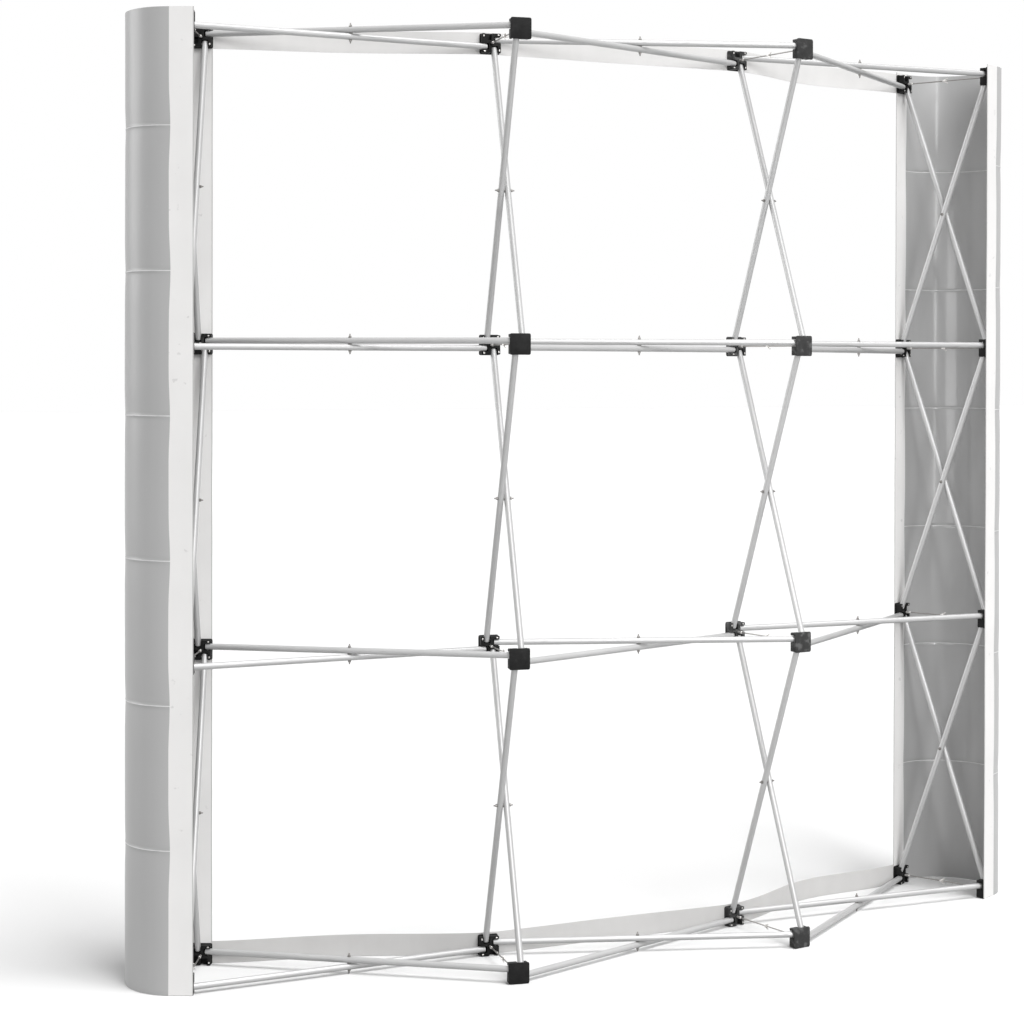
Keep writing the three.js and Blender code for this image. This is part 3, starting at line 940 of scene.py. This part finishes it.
def panel_point(seed, height, point, facing, along):
    """A point of a panel's plain section at a height, with its relief and its wavy edges."""
    edge = from_panel_edge(along)
    free = 1 - swell(edge, 0, WAVER_REACH)
    waver = noise.noise(Vector((height * 7.0, seed + along, 1.0))) * EDGE_WAVER
    inward = Vector((abs(waver) * free * between_hubs(height), 0, 0))
    inward.x -= border_creep(seed + (along > PANEL_WIDTH / 2), height, edge - HEM_WIDTH)
    return point + facing * panel_relief(seed, height, along) + inward + UP * height


def end_panel(name, node, column, side, seed):
    section, heights = panel_section(), panel_heights()
    outward, tangent = column_axes(column)
    middle = CURVE_MIDDLE + outward * ((rear_radius + front_radius) / 2)
    place = placed(middle, tangent * side, outward, UP)
    turn = place.to_3x3()
    lines = []
    for height in heights:
        line = []
        for point, facing, along in section:
            local = panel_point(seed, height, point, facing, along)
            line.append((place @ local, turn @ facing))
        lines.append(line)

    def thickness(_, c):
        on_hem = from_panel_edge(section[c][2]) < HEM_WIDTH - 1 * MM
        return SHEET_THICKNESS * (1.0 if on_hem else 0.7)

    form = sheet_form(lines, thickness, lambda r, c: (heights[r], section[c][2]))
    outer_points = len(heights) * len(section)
    for i, corners in enumerate(form.uvs):
        across = sum(v for _, v in corners) / len(corners)
        on_hem = from_panel_edge(across) < HEM_WIDTH
        within = min(form.faces[i]) >= outer_points
        form.finishes[i] = EDGING if on_hem else INSIDE if within else OUTSIDE
    if side < 0:
        turned_over(form)
    piece = form.piece(name, [SHEET, SHEET_BACK, HEM], node, "end_panel_sheet", crisp=50)
    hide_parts(node)
    PANEL_TOP - FLOOR_GAP


def band_seat(column, along):
    """A point of the band's rear face at a front hub, towards +X from the hub's middle."""
    outward, tangent = column_axes(column)
    over_hem = column in (0, COLUMNS - 1)
    stack = 2 * SEAT_GAP + SHEET_THICKNESS if over_hem else SEAT_GAP
    return CURVE_MIDDLE + outward * (front_radius - plate_face - stack) + tangent * along


def band_line():
    """The band's plain line seen from above: each point, and how free it is from the hubs."""
    half = HUB_SIZE / 2
    line = [(band_seat(0, BAND_END - step * MM), 0.0) for step in (0, 6, 12)]
    for bay in range(COLUMNS - 1):
        start, end = band_seat(bay, -half), band_seat(bay + 1, half)
        chord = end - start
        slack = -chord.cross(UP).normalized()
        for step in range(BAND_STEPS + 1):
            share = step / BAND_STEPS
            free = math.sin(math.pi * share) ** 2
            line.append((start + chord * share + slack * BAND_BULGES[bay] * free, free))
    return line + [(band_seat(COLUMNS - 1, -BAND_END + step * MM), 0.0) for step in (12, 6, 0)]


def band(name, node, bottom, finish, seed):
    line = band_line()
    lengths = [0.0]
    for before, after in zip(line, line[1:]):
        lengths.append(lengths[-1] + (after[0] - before[0]).length)
    lines = []
    for r in range(BAND_ROWS + 1):
        share = r / BAND_ROWS
        level = []
        for c, (point, free) in enumerate(line):
            before, after = line[max(c - 1, 0)][0], line[min(c + 1, len(line) - 1)][0]
            front = -(after - before).cross(UP).normalized()
            ripple = noise.noise(Vector((lengths[c] * 7.0, share * 1.4, seed)))
            twist = noise.noise(Vector((lengths[c] * 2.2, seed, 5.0))) * (share - 0.5)
            out = (1.0 * ripple + 3.2 * twist + 0.6) * MM * free
            shift = front * (SHEET_THICKNESS / 2 + max(out, -1.5 * MM))
            level.append((point + shift + UP * (bottom + share * BAND_HEIGHT), front))
        lines.append(level)

    def thickness(r, _):
        return SHEET_THICKNESS * (1.0 if r in (0, 1, BAND_ROWS - 1, BAND_ROWS) else 0.75)

    heights = [BAND_HEIGHT * r / BAND_ROWS for r in range(BAND_ROWS + 1)]
    form = sheet_form(lines, thickness, lambda r, c: (lengths[c], heights[r]))
    piece = turned_over(form).piece(name, [finish], node, "band_sheet", crisp=50)
    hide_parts(node)


# ---- Studio --------------------------------------------------------------------------------------

CAMERA_PLACE = Vector((2.5785, 4.8966, 1.4405))
CAMERA_YAW = math.radians(-25.03)
CAMERA_PITCH = math.radians(-0.569)
CAMERA_ROLL = math.radians(0.1256)
FOCAL_PIXELS = 2212.2  # for a picture 1024 pixels wide
HORIZON_ROW = 387.5  # the row of the picture that the lens points at
PICTURE = 1024
SENSOR = 36.0
VIEW_REACH = 200.0

FLOOR_REACH = 60.0
FLOOR_WHITE, FLOOR_BOUNCE = 0.79, 0.3  # as it is seen, and in the light it throws back
AMBIENT = 0.36
SUNS = {  # where each stands, how strong it is and how wide, in degrees
    "key_light": ((0.0, 0.9, 0.4), 1.3, 30),
    "sky_light": ((-0.45, 0.7, 1.9), 2.5, 34),
    "fill_light": ((0.8, -0.62, 0.3), 1.35, 40),
}
SOFT_BOXES = {  # where each stands, its width and height, and its power
    "front_strip": ((0.4, 6.2, 2.7), (0.5, 2.4), 12),
    "end_strip": ((-0.5, 2.6, 1.7), (0.3, 2.0), 10),
}
SPOT_PLACE, SPOT_AIM, SPOT_POWER = (1.0, 1.75, 1.5), (-1.25, 0.0, 1.0), 60
SPOT_ANGLE, SPOT_BLEND, SPOT_RADIUS = math.radians(46), 0.4, 0.6


def camera():
    lens = bpy.data.cameras.new("camera")
    lens.sensor_width = SENSOR
    lens.lens = FOCAL_PIXELS * SENSOR / PICTURE
    lens.shift_y = -(PICTURE / 2 - HORIZON_ROW) / PICTURE
    lens.clip_end = VIEW_REACH
    eye = bpy.data.objects.new("camera", lens)
    level = math.cos(CAMERA_PITCH)
    look = Vector(
        (math.sin(CAMERA_YAW) * level, -math.cos(CAMERA_YAW) * level, math.sin(CAMERA_PITCH))
    )
    turn = look.to_track_quat("-Z", "Y").to_matrix().to_4x4()
    eye.matrix_world = Matrix.Translation(CAMERA_PLACE) @ turn @ Matrix.Rotation(CAMERA_ROLL, 4, "Z")
    bpy.context.scene.collection.objects.link(eye)
    bpy.context.scene.camera = eye


def seen_rays(f):
    """1 for the picture's own rays and for what metal reflects, 0 for light on the object."""
    seen = f.add("ShaderNodeLightPath", out="Is Camera Ray")
    for kind in ("Is Glossy Ray", "Is Transmission Ray"):
        seen = f.math("MAXIMUM", seen, f.add("ShaderNodeLightPath", out=kind))
    return seen


def studio_floor():
    """White where it is seen, with the object's shadow, and greyer in the light it throws back."""
    f = Finish("studio_floor")
    bounced, seen = ((level, level, level, 1) for level in (FLOOR_BOUNCE, FLOOR_WHITE))
    tone = f.mix(seen_rays(f), bounced, seen)
    lit = f.add("ShaderNodeBsdfDiffuse", None, {"Color": tone})
    f.add("ShaderNodeOutputMaterial", None, {"Surface": lit})
    square = [(-1, -1), (1, -1), (1, 1), (-1, 1)]
    corners = [(x * FLOOR_REACH, y * FLOOR_REACH, 0) for x, y in square]
    mesh = bpy.data.meshes.new("studio_floor")
    mesh.from_pydata(corners, [], [(0, 1, 2, 3)])
    mesh.materials.append(f.owner)
    floor = bpy.data.objects.new("studio_floor", mesh)
    bpy.context.scene.collection.objects.link(floor)


def studio_world():
    """Plain white where it is seen, and a plain grey light on the object."""
    f = Finish("studio", "worlds")
    bpy.context.scene.world = f.owner
    strength = seen_rays(f) * (1 - AMBIENT) + AMBIENT
    lit = f.add("ShaderNodeBackground", None, {"Color": (1, 1, 1, 1), "Strength": strength})
    f.add("ShaderNodeOutputWorld", None, {"Surface": lit})


def lamp_at(name, kind, place, aim, energy):
    lamp = bpy.data.lights.new(name, kind)
    lamp.energy = energy
    holder = bpy.data.objects.new(name, lamp)
    holder.location = place
    holder.rotation_euler = (Vector(aim) - Vector(place)).to_track_quat("-Z", "Y").to_euler()
    bpy.context.scene.collection.objects.link(holder)
    return lamp


def studio():
    """Suns for the even light, tall soft boxes for the bright lines, a spot into the far panel."""
    studio_floor()
    studio_world()
    for name, (place, strength, width) in SUNS.items():
        lamp_at(name, "SUN", place, (0, 0, 0), strength).angle = math.radians(width)
    for name, (place, (width, height), power) in SOFT_BOXES.items():
        lamp = lamp_at(name, "AREA", place, (0, 0, place[2] * 0.7), power)
        lamp.shape, lamp.size, lamp.size_y = "RECTANGLE", width, height
    spot = lamp_at("end_spot", "SPOT", SPOT_PLACE, SPOT_AIM, SPOT_POWER)
    spot.spot_size, spot.spot_blend, spot.shadow_soft_size = SPOT_ANGLE, SPOT_BLEND, SPOT_RADIUS


camera()
studio()
level_pairs()
upright_pairs()
hubs()
end_panel("right_panel_sheet", "right_end_panel", column=0, side=1, seed=11.0)
end_panel("left_panel_sheet", "left_end_panel", column=COLUMNS - 1, side=-1, seed=29.0)
top_band_foot = last_row + BAND_RISE - BAND_HEIGHT
band("top_band_strip", "top_band", top_band_foot, TOP_BAND, seed=9.0)
band("bottom_band_strip", "bottom_band", FLOOR_GAP, BOTTOM_BAND, seed=2.0)

bpy.context.scene.view_settings.view_transform = "Standard"
